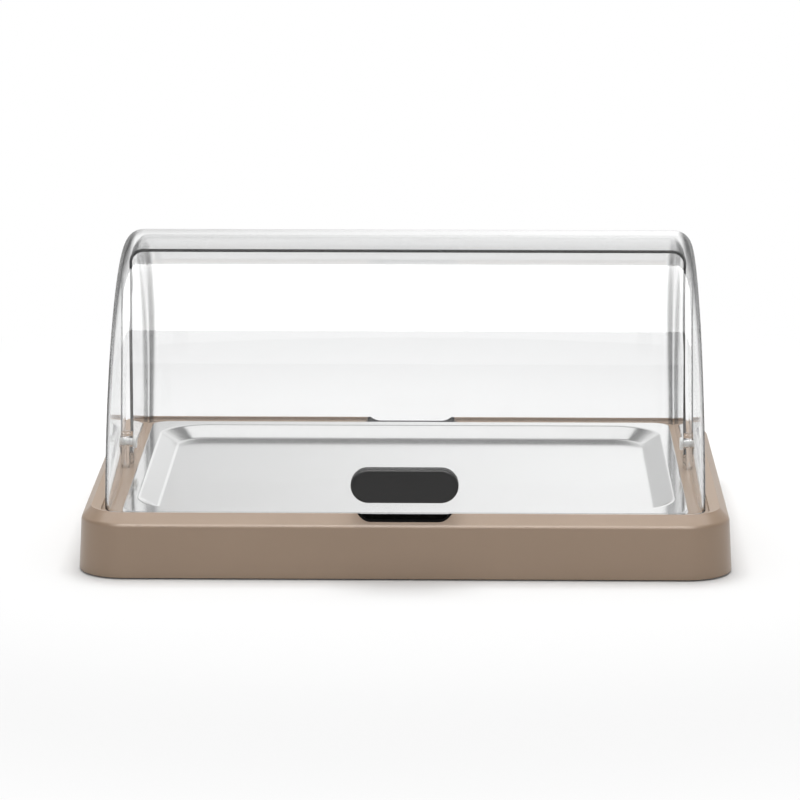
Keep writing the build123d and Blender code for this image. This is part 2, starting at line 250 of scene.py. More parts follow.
softbox("overhead_lamp", (0, 0.35, 1.6), (0, 0, 0), (1.1, 1.3), level=7.0, glossy=False)
softbox("front_lamp", (0, -3.4, 2.4), (radians(56), 0, 0), (2.4, 0.8), level=4.2, glossy=False)


def mirror_card(name, corner, rise, run, level):
    """A bright card that shows only in reflections."""
    corner, rise, run = Vector(corner), Vector(rise), Vector(run)
    mesh = bpy.data.meshes.new(name)
    points = [corner, corner + rise, corner + rise + run, corner + run]
    mesh.from_pydata(points, [], [(0, 1, 2, 3)])
    card = bpy.data.objects.new(name, mesh)
    scene.collection.objects.link(card)
    for kind in ("camera", "diffuse", "transmission", "shadow", "volume_scatter"):
        setattr(card, "visible_" + kind, False)
    material = bpy.data.materials.new(name)
    mesh.materials.append(material)
    glow = Shader(material)
    glow.finish(glow.node("ShaderNodeEmission", {"Color": white(1.0), "Strength": level}))
    return card


mirror_card("overhead_card", (-1.4, -0.50, 1.5), (0, 1.27, 0), (2.8, 0, 0), level=6.5)
front_card = mirror_card("front_card", (-1.3, -2.3, 1.1), (0, 0, 2.1), (2.6, 0, 0), level=10.0)

# The front card lights only the base, as it would show as a hard band in the clear covers.
lit_by_front_card = bpy.data.collections.new("lit_by_front_card")
front_card.light_linking.receiver_collection = lit_by_front_card


# Base: one moulding of taupe plastic. Its skirt leans in to a soft rim, and inside the rim a
# ledge for the dome's edges goes round the well that holds the freezer packs.
def blend(first, second, share):
    return tuple(a + (b - a) * share for a, b in zip(first, second))


def section(stops, steps=6):
    """Stations down a section. A stop is (half_x, half_y, corner, height, round)."""
    stations = []
    for index, (*stop, radius) in enumerate(stops):
        inner = 0 < index < len(stops) - 1
        if not (inner and radius):
            stations.append(tuple(stop))
            continue
        before = stops[index - 1][:4]
        after = stops[index + 1][:4]
        into = Vector((stop[0] - before[0], stop[3] - before[3]))
        out = Vector((after[0] - stop[0], after[3] - stop[3]))
        turn = abs(into.angle(out))
        cut = radius * tan(turn / 2)
        start = blend(stop, before, cut / into.length)
        end = blend(stop, after, cut / out.length)
        pull = cos(turn / 2)
        for step in range(steps + 1):
            t = step / steps
            weights = ((1 - t) ** 2, 2 * pull * t * (1 - t), t * t)
            total = sum(weights)
            stations.append(
                tuple(
                    sum(w * p[k] for w, p in zip(weights, (start, stop, end))) / total
                    for k in range(4)
                )
            )
    return stations


def outline(half_x, half_y, corner, height, centre, corner_steps):
    """The points of a rounded rectangle, counter-clockwise seen from above."""
    points = []
    for quarter, (sx, sy) in enumerate([(1, 1), (-1, 1), (-1, -1), (1, -1)]):
        middle_x = centre[0] + sx * (half_x - corner)
        middle_y = centre[1] + sy * (half_y - corner)
        for step in range(corner_steps + 1):
            angle = (quarter + step / corner_steps) * pi / 2
            points.append((middle_x + corner * cos(angle), middle_y + corner * sin(angle), height))
    return points


def add_loft(mesh, stations, centre=(0, 0), corner_steps=16, ends=True):
    """Adds a surface through the stations to a bmesh, with flat ends where they are closed."""
    rings = []
    for station in stations:
        ring = outline(*station, centre, corner_steps)
        rings.append([mesh.verts.new(point) for point in ring])
    count = len(rings[0])
    for lower, upper in zip(rings, rings[1:]):
        for i in range(count):
            j = (i + 1) % count
            mesh.faces.new((lower[i], lower[j], upper[j], upper[i]))
    if ends:
        mesh.faces.new(rings[0][::-1])
        mesh.faces.new(rings[-1])
    return rings


def made(name, mesh, turn=None):
    """The object of a bmesh, its doubles merged and its faces turned outwards or upwards."""
    if turn:
        mesh.transform(turn)
    bmesh.ops.remove_doubles(mesh, verts=mesh.verts, dist=1e-6)
    bmesh.ops.recalc_face_normals(mesh, faces=mesh.faces)
    sheet_edges = [edge for edge in mesh.edges if edge.is_boundary]
    top = max(mesh.faces, key=lambda face: face.calc_center_median().z)
    if sheet_edges and top.normal.z < 0:
        bmesh.ops.reverse_faces(mesh, faces=mesh.faces)
    data = bpy.data.meshes.new(name)
    mesh.to_mesh(data)
    mesh.free()
    piece = bpy.data.objects.new(name, data)
    scene.collection.objects.link(piece)
    return piece


def lofted(name, stations, turn=None, **settings):
    mesh = bmesh.new()
    add_loft(mesh, stations, **settings)
    return made(name, mesh, turn)


def settle(piece, sharp=35):
    """Applies the modifiers, then smooths the faces up to the sharp angle, in degrees."""
    if piece.modifiers:
        graph = bpy.context.evaluated_depsgraph_get()
        data = bpy.data.meshes.new_from_object(piece.evaluated_get(graph))
        piece.modifiers.clear()
        piece.data = data
    piece.data.polygons.foreach_set("use_smooth", [True] * len(piece.data.polygons))
    piece.data.set_sharp_from_angle(angle=radians(sharp))
    weigh = piece.modifiers.new("even_faces", "WEIGHTED_NORMAL")
    weigh.keep_sharp = True
    return piece


def cut(piece, *tools, operation="DIFFERENCE"):
    """Cuts the piece with the tools, which are then thrown away."""
    for tool in tools:
        change = piece.modifiers.new("cut", "BOOLEAN")
        change.operation = operation
        change.solver = "EXACT"
        change.object = tool
    graph = bpy.context.evaluated_depsgraph_get()
    data = bpy.data.meshes.new_from_object(piece.evaluated_get(graph))
    piece.modifiers.clear()
    piece.data = data
    for tool in tools:
        bpy.data.objects.remove(tool)
    return piece


def fit(piece, material, slot, body, *replaced):
    """Gives a finished piece its material and its body, and hides the nodes it stands for. The
    slot is not used.
    """
    piece.data.materials.clear()
    piece.data.materials.append(material)
    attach(piece, body)
    if replaced:
        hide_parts(*replaced)
    return piece


def plastic(name, color, roughness, grain, relief, mottle=0.03, specular=0.5):
    """Moulded plastic: a fine sparked grain, and a slow drift in its colour and gloss."""
    material = bpy.data.materials.new(name)
    shader = Shader(material)
    drift = shader.noise(0.05, detail=3.0)
    dark = tuple(c * (1 - mottle) for c in color) + (1.0,)
    light = tuple(min(1, c * (1 + mottle)) for c in color) + (1.0,)
    grains = shader.noise(grain, detail=1.0)
    inputs = {
        "Base Color": shader.mix(drift, dark, light),
        "Roughness": roughness - 0.03 + 0.06 * drift,
        "Specular IOR Level": specular,
        "Normal": shader.bump(grains, relief),
    }
    shader.finish(shader.node("ShaderNodeBsdfPrincipled", inputs))
    return material


taupe = (0.262, 0.184, 0.125)
base_plastic = plastic("taupe_plastic", taupe, roughness=0.35, grain=0.0006, relief=0.000012)
base_low, base_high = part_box("base_shell")
base_half_x, base_half_y = base_high.x, base_high.y
skirt_foot, rim_top = base_low.z, base_high.z
base_corner = 0.032
skirt_lean = tan(radians(3.0))
skirt_edge_round = 0.0005
rim_run, rim_drop, rim_round = 0.0066, 0.0075, 0.005
wall = 0.003
ledge_top = 0.0414
ledge_half_x, ledge_half_y, ledge_corner = 0.20412, 0.151, 0.0135
crest_round = 0.0005
well_half_x, well_half_y, well_corner = 0.18173, 0.12972, 0.020
well_floor = 0.008
well_underside = 0.005
well_edge_round = 0.0006
well_floor_round, well_foot_round = 0.003, 0.004
floor_inset = 0.02
rim_edge_round, ledge_corner_round = 0.0002, 0.0003
under_ledge_round, under_rim_round = 0.001, 0.002
shoulder_z = rim_top - rim_drop
shoulder_in = (shoulder_z - skirt_foot) * skirt_lean


def inset_stop(inset, height, radius=0.0):
    """A stop on the base's outside, that far in from its foot."""
    return (base_half_x - inset, base_half_y - inset, base_corner - inset, height, radius)


def base_outside(ledge_round):
    return [
        inset_stop(0, skirt_foot, skirt_edge_round),
        inset_stop(shoulder_in, shoulder_z, rim_round),
        inset_stop(shoulder_in + rim_run, rim_top, crest_round / 2),
        (ledge_half_x, ledge_half_y, ledge_corner, rim_top - crest_round / 2, rim_edge_round),
        (ledge_half_x, ledge_half_y, ledge_corner, ledge_top, ledge_round),
        (well_half_x, well_half_y, well_corner, ledge_top, well_edge_round),
    ]


under_ledge = ledge_top - wall
well_outside = (well_half_x + wall, well_half_y + wall, well_corner + wall)
floor_middle = (well_half_x - floor_inset, well_half_y - floor_inset, well_corner)
base_section = [
    (*floor_middle, well_underside, 0),
    (*well_outside, well_underside, well_foot_round),
    (*well_outside, under_ledge, under_ledge_round),
    inset_stop(wall + shoulder_in, under_ledge, under_rim_round),
    inset_stop(wall, skirt_foot, skirt_edge_round),
]
base_section += base_outside(ledge_corner_round)
base_section += [
    (well_half_x, well_half_y, well_corner, well_floor, well_floor_round),
    (*floor_middle, well_floor, 0),
]
base = lofted("base_shell_moulding", section(base_section))

cup_half_length, cup_half_width = 0.03425, 0.01175
cup_y = 0.14405
cup_wall = 0.0013
cup_floor, cup_floor_round = 0.0262, 0.004
cup_gap = 0.0001
flat_left = 0.001


def cup_form(name, side, grow, bottom, top, inside=0.0):
    """An upright block with a finger cup's outline."""
    half = (cup_half_length + grow, cup_half_width + grow, cup_half_width + grow)
    stops = [(*half, bottom, inside), (*half, top, 0)]
    if inside:
        draw_in = inside + flat_left
        stops.insert(0, (half[0] - draw_in, half[1] - draw_in, flat_left, bottom, 0))
    return lofted(name, section(stops), centre=(0, side * cup_y))


above_rim = rim_top + 0.002
cut(base, *[cup_form("cup_hole", side, cup_gap, cup_floor, above_rim) for side in (-1, 1)])
fit(settle(base), base_plastic, "base_plastic", "base", "base_shell")
lit_by_front_card.objects.link(base)

# Finger cups: two black moulded liners in the front and rear rim, trimmed flush with it,
# where fingertips reach under the edge of a cover. Their near-black colour is partly painted
# shade, which stands in for the shade deep in the cups.
# The cups' black is darker than the handle's: partly the liners' own colour, partly painted shade.
handle_black, cup_black_and_painted_shade = (0.02, 0.0195, 0.0195), (0.004, 0.0038, 0.0035)
black_plastic = plastic(
    "black_plastic", handle_black, roughness=0.42, grain=0.0005, relief=0.000015, specular=0.28
)
cup_plastic_and_painted_shade = plastic(
    "cup_plastic_and_painted_shade", cup_black_and_painted_shade, roughness=0.55, grain=0.0005, relief=0.000015, specular=0.06
)
for name, side in (("front_finger_cup", -1), ("rear_finger_cup", 1)):
    cup = cup_form(name + "_liner", side, 0, cup_floor, above_rim)
    inner_floor = cup_floor + cup_wall
    hollow = cup_form("cup_hollow", side, -cup_wall, inner_floor, above_rim, cup_floor_round)
    trim = lofted("rim_form", section(base_outside(0)))
    cut(cup, hollow)
    cut(cup, trim, operation="INTERSECT")
    fit(settle(cup), cup_plastic_and_painted_shade, "black_plastic", "base", name)

# Serving tray: pressed stainless sheet with a flat flange, a hem turned down round its edge,
# and a shallow basin whose creases are soft from the press.
tray_low, tray_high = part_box("serving_tray")
tray_half_x, tray_half_y, tray_top = tray_high.x, tray_high.y, tray_high.z
tray_sheet = 0.0008
tray_corner = 0.010
hem_end, hem_round = 0.0013, 0.0011
flange_x, flange_y = 0.0087, 0.0125
basin_half_x, basin_half_y = tray_half_x - flange_x, tray_half_y - flange_y
basin_corner, floor_corner = 0.033, 0.022
slope_run, slope_drop = 0.0128, 0.0075
brow_round, foot_round = 0.004, 0.005
tray_floor = tray_top - slope_drop
tray_middle = (0.1, 0.05, 0.02)
tray_section = [
    (tray_half_x, tray_half_y, tray_corner, tray_low.z + hem_end, 0),
    (tray_half_x, tray_half_y, tray_corner, tray_top, hem_round),
    (basin_half_x, basin_half_y, basin_corner, tray_top, brow_round),
    (basin_half_x - slope_run, basin_half_y - slope_run, floor_corner, tray_floor, foot_round),
    (*tray_middle, tray_floor, 0),
]


def steel(name, level, roughness, grain_stretch, relief):
    """Stainless sheet with the fine, short grain that rolling and pressing leave."""
    material = bpy.data.materials.new(name)
    shader = Shader(material)
    grain = shader.noise(0.0006, detail=2.0, stretch=grain_stretch)
    cloud = shader.noise(0.09, detail=2.0)
    dark = (level * 0.96, level * 0.96, level * 0.95, 1.0)
    inputs = {
        "Base Color": shader.mix(cloud, dark, white(level)),
        "Metallic": 1.0,
        "Roughness": roughness + 0.05 * cloud,
        "Normal": shader.bump(grain, relief),
    }
    shader.finish(shader.node("ShaderNodeBsdfPrincipled", inputs))
    return material


tray_steel = steel(
    "tray_satin_steel", level=0.88, roughness=0.1, grain_stretch=(0.12, 1, 1), relief=0.000003
)
mesh = bmesh.new()
tray_rings = add_loft(mesh, section(tray_section), ends=False)
mesh.faces.new(tray_rings[-1])
tray = made("serving_tray_pressing", mesh)
sheet = tray.modifiers.new("sheet", "SOLIDIFY")
sheet.thickness = tray_sheet
sheet.offset = -1
sheet.use_even_offset = True
fit(settle(tray), tray_steel, "tray_steel", "tray", "serving_tray")


# Dome: two clear moulded quarter shells of one wall thickness. Each is bent round the pivot
# line, rolls over at its ends into leaning side walls, and hangs there on round ears.
pivot_z = 0.0585
cover_wall = 0.0021
cover_lean = tan(radians(1.2))
pin_hole = 0.00255
cut_edge_round = 0.0004
arc_steps, ear_steps, foot_steps, ear_back_steps, roll_steps, side_steps = 46, 10, 4, 16, 10, 6


def soften(piece, width, segments):
    """Rounds a moulding's sharp edges."""
    edges = piece.modifiers.new("edges", "BEVEL")
    edges.width = width
    edges.segments = segments
    edges.limit_method = "ANGLE"
    edges.angle_limit = radians(50)


def polar(radius, turn):
    """How far out and how far up a point is from the pivot line, turned outwards from upright."""
    return radius * sin(turn), radius * cos(turn)


def cover(name, side, roll, back_turn, ear, foot_out, foot_turn):
    """A quarter shell in front of the pivot line, side -1, or behind it, side 1.

    Its cut edge leans back_turn past upright over the other shell. Below the pivot line the
    side wall narrows round the ear to foot_turn, and ends foot_out from the pivot line.
    """
    low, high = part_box(name)
    radius = high.z - pivot_z
    turns = [-back_turn + (pi / 2 + back_turn) * i / arc_steps for i in range(arc_steps + 1)]
    ear_turns = [pi / 2 + (foot_turn - pi / 2) * i / ear_steps for i in range(1, ear_steps + 1)]
    stations = [((0, 0), polar(1, turn), polar(ear, turn)) for turn in turns]
    for turn in ear_turns:
        inner = polar(ear, turn)
        stations.append(((0, inner[1]), (1, 0), inner))
    for i in range(1, foot_steps + 1):
        inner = blend(polar(ear, foot_turn), (foot_out, low.z - pivot_z), i / foot_steps)
        stations.append(((0, inner[1]), (1, 0), inner))

    def spot(end, out_up, roll_in=0.0):
        z = pivot_z + out_up[1]
        return end * (high.x - (z - low.z) * cover_lean - roll_in), side * out_up[0], z

    mesh = bmesh.new()
    rows = []
    for spine, away, inner in stations:
        half_row = []
        flat_end = tuple(s + (radius - roll) * a for s, a in zip(spine, away))
        for i in range(side_steps):
            half_row.append((blend(inner, flat_end, i / side_steps), 0.0))
        for i in range(roll_steps + 1):
            turn = pi / 2 * i / roll_steps
            reach = radius - roll + roll * sin(turn)
            out_up = tuple(s + reach * a for s, a in zip(spine, away))
            half_row.append((out_up, roll * (1 - cos(turn))))
        row = [spot(1, *point) for point in half_row]
        row += [spot(-1, *point) for point in reversed(half_row)]
        rows.append([mesh.verts.new(point) for point in row])
    for upper, lower in zip(rows, rows[1:]):
        for i in range(len(upper) - 1):
            mesh.faces.new((upper[i], upper[i + 1], lower[i + 1], lower[i]))
    back_turns = [
        foot_turn + (2 * pi - back_turn - foot_turn) * i / ear_back_steps
        for i in range(1, ear_back_steps)
    ]
    for end in (-1, 1):
        rings = []
        for ring_radius in (pin_hole, (pin_hole + ear) / 2, ear):
            around = [polar(ring_radius, turn) for turn in turns + ear_turns + back_turns]
            rings.append([mesh.verts.new(spot(end, point)) for point in around])
        for inner_ring, outer_ring in zip(rings, rings[1:]):
            for i in range(len(inner_ring)):
                j = (i + 1) % len(inner_ring)
                mesh.faces.new((inner_ring[i], inner_ring[j], outer_ring[j], outer_ring[i]))
    shell = made(name + "_moulding", mesh)
    thicken = shell.modifiers.new("wall", "SOLIDIFY")
    thicken.thickness = cover_wall
    thicken.offset = -1
    thicken.use_even_offset = True
    soften(shell, cut_edge_round, segments=3)
    return settle(shell, sharp=50)


def clear(name, tint, roughness):
    """Clear moulded plastic. It bends what is seen through it and lets the light through."""
    material = bpy.data.materials.new(name)
    shader = Shader(material)
    ripple = shader.noise(0.03, detail=1.0)
    inputs = {
        "Base Color": (*tint, 1.0),
        "Roughness": roughness,
        "IOR": 1.49,
        "Transmission Weight": 1.0,
        "Normal": shader.bump(ripple, 0.00002),
    }
    solid = shader.node("ShaderNodeBsdfPrincipled", inputs)
    return material, shader, solid


def finish_clear(material, shader, solid, tint):
    """Lets lamp light through the piece without bending it, so that it throws a light shadow."""
    through = shader.node("ShaderNodeBsdfTransparent", {"Color": (*tint, 1.0)})
    light = shader.ray("Is Shadow Ray", "Is Diffuse Ray")
    shader.finish(shader.node("ShaderNodeMixShader", {0: light, 1: solid, 2: through}))
    return material


cover_tint = (0.957, 0.959, 0.96)
# The level and share of the covers' painted edge shade.
painted_edge_shade_level, painted_edge_shade_share = 0.16, 0.75


def cover_plastic(name, radius, half_at_pivot, roll, darken, clear_again):
    """The covers' clear plastic, darker where a rolled end is seen edge-on.

    This darkening is painted shade, which stands in for the dark edge lines that refraction
    gives a clear wall seen edge-on. The darkening sets in and ends over two spans of the angle
    between the surface and the sight line.
    """
    material, shader, solid = clear(name, cover_tint, 0.0)
    place = shader.place()
    up = (shader.axis(place, 2) - pivot_z).larger(0.0)
    out = shader.axis(place, 1)
    reach = (up * up + out * out).maths("POWER", 0.5)
    side = abs(shader.axis(place, 0)) + up * cover_lean
    strip = side.rise(half_at_pivot - 0.8 * roll, half_at_pivot - 0.45 * roll)
    strip = strip * reach.rise(radius - roll, radius - 0.7 * roll)
    facing = shader.node("ShaderNodeLayerWeight", {"Blend": 0.5}, output=1)
    edge_on = facing.rise(*darken) * (1 - facing.rise(*clear_again))
    painted_edge_shade = shader.node("ShaderNodeBsdfTransparent", {"Color": white(painted_edge_shade_level)})
    factor = painted_edge_shade_share * strip * edge_on
    solid = shader.node("ShaderNodeMixShader", {0: factor, 1: solid, 2: painted_edge_shade})
    return finish_clear(material, shader, solid, cover_tint)


front_radius, front_half, front_roll = 0.1505, 0.2010, 0.013
front_plastic = cover_plastic(
    "front_clear_plastic", front_radius, front_half, front_roll,
    darken=(0.35, 0.7), clear_again=(1.1, 1.2),
)
front_turn, front_ear, front_foot_out = radians(4), 0.009, 0.005
front_foot_turn = pi - asin(front_foot_out / front_ear)
front_cover = cover(
    "front_cover", -1, front_roll, front_turn, front_ear, front_foot_out, front_foot_turn
)
fit(front_cover, front_plastic, "clear_plastic", "front_lid", "front_cover")
rear_radius, rear_half, rear_roll = 0.1461, 0.1953, 0.0105
rear_plastic = cover_plastic(
    "rear_clear_plastic", rear_radius, rear_half, rear_roll,
    darken=(0.1, 0.3), clear_again=(0.5, 0.8),
)
rear_turn, rear_ear = radians(13), 0.008
rear_foot_out = (pivot_z - ledge_top) * tan(rear_turn)
rear_cover = cover(
    "rear_cover", 1, rear_roll, rear_turn, rear_ear, rear_foot_out, pi - rear_turn
)
fit(rear_cover, rear_plastic, "clear_plastic", "dome_frame", "rear_cover")

# Handle: a black moulded bar with round ends and a softly crowned bare face. It is shaped to
# the front cover at its back, where two screws from inside hold it.
handle_low, handle_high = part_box("front_handle")
handle_half_x = handle_high.x
handle_half_z = (handle_high.z - handle_low.z) / 2
handle_z = (handle_high.z + handle_low.z) / 2
handle_face = -handle_low.y
handle_back = -handle_high.y
handle_crown = 0.0009
crown_rings = 6
handle_round = 0.0036
handle_depth, seat_gap = 0.009, 0.00005
front_seat = handle_face - handle_depth + seat_gap
face_start = handle_face - handle_crown
handle_stops = [
    (handle_half_x, handle_half_z, handle_half_z, handle_back, 0),
    (handle_half_x, handle_half_z, handle_half_z, face_start, handle_round),
    (handle_half_x / 2, handle_half_z / 2, handle_half_z / 2, face_start, 0),
]
handle_stations = section(handle_stops, steps=8)[:-1]
rim_station = handle_stations[-1]
for i in range(1, crown_rings + 1):
    share = i / (crown_rings + 1)
    draw_in = rim_station[1] * share
    rise = handle_crown * (1 - (1 - share) ** 2)
    ring_size = [size - draw_in for size in rim_station[:3]]
    handle_stations.append((*ring_size, rim_station[3] + rise))
upright = Matrix.Translation((0, 0, handle_z)) @ Matrix.Rotation(radians(90), 4, "X")
mesh = bmesh.new()
rings = add_loft(mesh, handle_stations)
for vert in rings[0]:
    height = max(0.0, handle_z + vert.co.y - pivot_z)
    vert.co.z = sqrt(front_seat**2 - height**2)
handle = made("front_handle_bar", mesh, upright)
fit(settle(handle), black_plastic, "black_plastic", "front_lid", "front_handle")

# Pivot brackets: two clear forks on the ledge at mid-depth. Each has a cheek outside and a
# cheek between the covers, on a sole with a tongue that drops into a slot in the ledge.
def disc(radius, height, rounding=0.0):
    """A stop of a round section."""
    return (radius, radius, radius, height, rounding)


def along_x(side):
    """Turns an upright form to lie outwards along the pivot line."""
    return Matrix.Translation((0, 0, pivot_z)) @ Matrix.Rotation(side * pi / 2, 4, "Y")


def brick(name, low, high, corner):
    """A block between two corner points, with rounded upright edges."""
    half = ((high[0] - low[0]) / 2, (high[1] - low[1]) / 2)
    middle = ((high[0] + low[0]) / 2, (high[1] + low[1]) / 2)
    stops = [(*half, corner, low[2], 0), (*half, corner, high[2], 0)]
    return lofted(name, section(stops), centre=middle, corner_steps=4)


def cheek(name, side, inner, outer, foot):
    """One upright of a fork, rounded off over the pivot line."""
    half = bracket_width / 2
    form = (2 * half, half, half - 0.00001)
    stops = [(*form, inner, 0), (*form, outer, 0)]
    upright = lofted(name, section(stops), along_x(side))
    upright.data.transform(Matrix.Translation((0, 0, -half)))
    reach = (outer + past, half + past)
    keep = brick("keep", (-reach[0], -reach[1], foot), (*reach, pivot_z + 2 * past), 0.001)
    return cut(upright, keep, operation="INTERSECT")


bracket_tint = (0.95, 0.95, 0.95)
bracket_plastic = finish_clear(*clear("bracket_plastic", bracket_tint, 0.05), bracket_tint)
bracket_width = 0.016
past = 0.01
tongue_half_width = 0.007
tongue_inset = 0.0011
sole_thickness, tongue_overlap = 0.002, 0.001
outer_cheek, middle_cheek = 0.0021, 0.0024
pin_radius, pin_play = 0.0025, 0.00005
head_radius, head_height, head_play = 0.0038, 0.0012, 0.00015
bracket_round = 0.0003
for name, side in (("left", -1), ("right", 1)):
    low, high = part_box("pivot_bracket_" + name)
    inner, outer = sorted((abs(low.x), abs(high.x)))
    fork = cheek("pivot_fork_" + name, side, outer - outer_cheek, outer, ledge_top)
    spans = [
        (inner, outer, bracket_width / 2, ledge_top, ledge_top + sole_thickness),
        (
            inner + tongue_inset, outer - tongue_inset,
            tongue_half_width, low.z, ledge_top + tongue_overlap,
        ),
    ]
    others = [cheek("cheek", side, inner, inner + middle_cheek, ledge_top)]
    for start, end, half_width, bottom, top in spans:
        ends = sorted((side * start, side * end))
        others.append(
            brick("sole", (ends[0], -half_width, bottom), (ends[1], half_width, top), 0.0002)
        )
    cut(fork, *others, operation="UNION")
    hole = [disc(pin_radius + pin_play, end) for end in (inner - past, outer + past)]
    seat = outer - head_height - head_play
    sink = [disc(head_radius + pin_play, end) for end in (seat, outer + past)]
    cut(fork, *[lofted("bore", section(stops), along_x(side)) for stops in (hole, sink)])
    soften(fork, bracket_round, segments=2)
    fit(settle(fork), bracket_plastic, "bracket_plastic", "dome_frame", "pivot_bracket_" + name)

# Pivot pins and knobs: milky plastic pins with a flat head outside and a round knob inside.
# Each pin goes through its fork and both covers, and its knob is pressed onto the tip.
milky = (0.62, 0.62, 0.61)
milky_plastic = plastic("milky_plastic", milky, roughness=0.3, grain=0.0005, relief=0.00001)
for name, side in (("left", -1), ("right", 1)):
    low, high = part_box("pivot_pin_" + name)
    tip, end = sorted((abs(low.x), abs(high.x)))
    pin_stops = [
        disc(pin_radius * 0.7, tip),
        disc(pin_radius, tip, 0.0004),
        disc(pin_radius, end - head_height, 0.0001),
        disc(head_radius, end - head_height, 0.0002),
        disc(head_radius, end, 0.0005),
        disc(head_radius * 0.6, end),
    ]
    pin = lofted("pivot_pin_turned_" + name, section(pin_stops), along_x(side))
    fit(settle(pin), milky_plastic, "pivot_plastic", "dome_frame", "pivot_pin_" + name)
    low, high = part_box("pivot_knob_" + name)
    knob_in, knob_out = sorted((abs(low.x), abs(high.x)))
    knob_radius = high.z - pivot_z
    knob_stops = [
        disc(pin_radius * 0.6, tip),
        disc(pin_radius + 0.00002, tip, 0.0002),
        disc(pin_radius + 0.00002, knob_out, 0.0002),
        disc(knob_radius, knob_out, 0.0003),
        disc(knob_radius, knob_in, 0.0008),
        disc(knob_radius * 0.62, knob_in, 0.0001),
        disc(knob_radius * 0.55, knob_in + 0.0003, 0.0001),
        disc(knob_radius * 0.3, knob_in + 0.0003),
    ]
    knob = lofted("pivot_knob_moulding_" + name, section(knob_stops), along_x(side))
    fit(settle(knob), milky_plastic, "pivot_plastic", "dome_frame", "pivot_knob_" + name)


# Freezer packs: two blow-moulded packs side by side in the well, with a seam round the middle,
# stiffening grooves on top and a recess for the filler cap.
pale_blue, deep_blue = (0.72, 0.76, 0.8), (0.05, 0.13, 0.32)
pack_plastic = plastic("pack_plastic", pale_blue, roughness=0.45, grain=0.0009, relief=0.00003)
cap_plastic = plastic("cap_plastic", deep_blue, roughness=0.4, grain=0.0005, relief=0.00001)
pack_corner, pack_round, seam_depth = 0.012, 0.004, 0.0006
groove_half, groove_depth, groove_count, groove_pitch = 0.0015, 0.0008, 5, 0.034
cap_gap, cap_bar_half, cap_bar_height = 0.0003, (0.008, 0.00125), 0.0025
face_inset, face_corner = 0.01, 0.004
seam_floor, seam_edge = 0.0006, 0.0012
for name, side in (("left", -1), ("right", 1)):
    low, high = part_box("freezer_pack_" + name)
    half_x, half_y = (high.x - low.x) / 2, (high.y - low.y) / 2
    middle_x, middle_z = (high.x + low.x) / 2, (high.z + low.z) / 2
    face = (half_x - face_inset, half_y - face_inset, face_corner)
    side_wall = (half_x, half_y, pack_corner)
    seam = tuple(size - seam_depth for size in side_wall)
    pack_stops = [
        (*face, low.z, 0),
        (*side_wall, low.z, pack_round),
        (*side_wall, middle_z - seam_edge, 0.0003),
        (*seam, middle_z - seam_floor, 0.0002),
        (*seam, middle_z + seam_floor, 0.0002),
        (*side_wall, middle_z + seam_edge, 0.0003),
        (*side_wall, high.z, pack_round),
        (*face, high.z, 0),
    ]
    pack = lofted("freezer_pack_blown_" + name, section(pack_stops, steps=4), centre=(middle_x, 0))
    cap_low, cap_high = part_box("filler_cap_" + name)
    cap_x, cap_y = (cap_high.x + cap_low.x) / 2, (cap_high.y + cap_low.y) / 2
    cap_radius = (cap_high.x - cap_low.x) / 2
    recess_radius = cap_radius + cap_gap
    round_hole = [
        disc(recess_radius - 0.001, cap_low.z),
        disc(recess_radius, cap_low.z, 0.0005),
        disc(recess_radius, high.z + 0.002),
    ]
    tools = [lofted("recess", section(round_hole), centre=(cap_x, cap_y))]
    for index in range(groove_count):
        groove_y = (index - 1.5) * groove_pitch
        groove_stops = [
            (half_x - 0.026, groove_half * 0.4, groove_half * 0.3, high.z - groove_depth, 0),
            (half_x - 0.024, groove_half * 1.4, groove_half, high.z + groove_depth, 0),
        ]
        groove_place = (middle_x, groove_y)
        tools.append(
            lofted("groove", section(groove_stops), centre=groove_place, corner_steps=6)
        )
    fit(settle(cut(pack, *tools)), pack_plastic, "pack_plastic", "base", "freezer_pack_" + name)
    disc_top = cap_high.z - cap_bar_height
    cap_stops = [
        disc(cap_radius * 0.8, cap_low.z),
        disc(cap_radius, cap_low.z, 0.0003),
        disc(cap_radius, disc_top, 0.0006),
        disc(cap_radius * 0.86, disc_top, 0.0003),
        disc(cap_radius * 0.82, disc_top - 0.0005, 0.0003),
        disc(cap_radius * 0.5, disc_top - 0.0005),
    ]
    cap = lofted("filler_cap_moulding_" + name, section(cap_stops), centre=(cap_x, cap_y))
    bar_stops = [
        (*cap_bar_half, 0.0012, disc_top - 0.001, 0),
        (*cap_bar_half, 0.0012, cap_high.z, 0.0005),
        (cap_bar_half[0] - 0.001, cap_bar_half[1] - 0.001, 0.0002, cap_high.z, 0),
    ]
    bar = lofted("bar", section(bar_stops), centre=(cap_x, cap_y), corner_steps=6)
    cut(cap, bar, operation="UNION")
    fit(settle(cap), cap_plastic, "cap_plastic", "base", "filler_cap_" + name)

# Bottom plate: a flat moulded plate that closes the base from below, with countersunk holes for
# eight screws and a hole for each foot's stem.
plate_low, plate_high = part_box("bottom_plate")
screws_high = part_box("bottom_plate_screws")[1]
screw_radius, screw_head, head_depth = 0.0015, 0.0032, 0.0017
side_spread, front_spread = 0.075, 0.110
screw_x, screw_y = screws_high.x - screw_head, screws_high.y - screw_head
screw_places = [(sx * screw_x, sy * side_spread) for sx in (-1, 1) for sy in (-1, 1)]
screw_places += [(sx * front_spread, sy * screw_y) for sx in (-1, 1) for sy in (-1, 1)]
foot_x, foot_y = 0.19, 0.13
stem_radius, stem_play = 0.003, 0.00002
foot_places = {
    f"rubber_foot_{end}_{name}": (sx * foot_x, sy * foot_y)
    for name, sx in (("left", -1), ("right", 1))
    for end, sy in (("front", -1), ("rear", 1))
}
plate_corner, plate_round = 0.0285, 0.0004
plate_face = (plate_high.x - face_inset, plate_high.y - face_inset, 0.02)
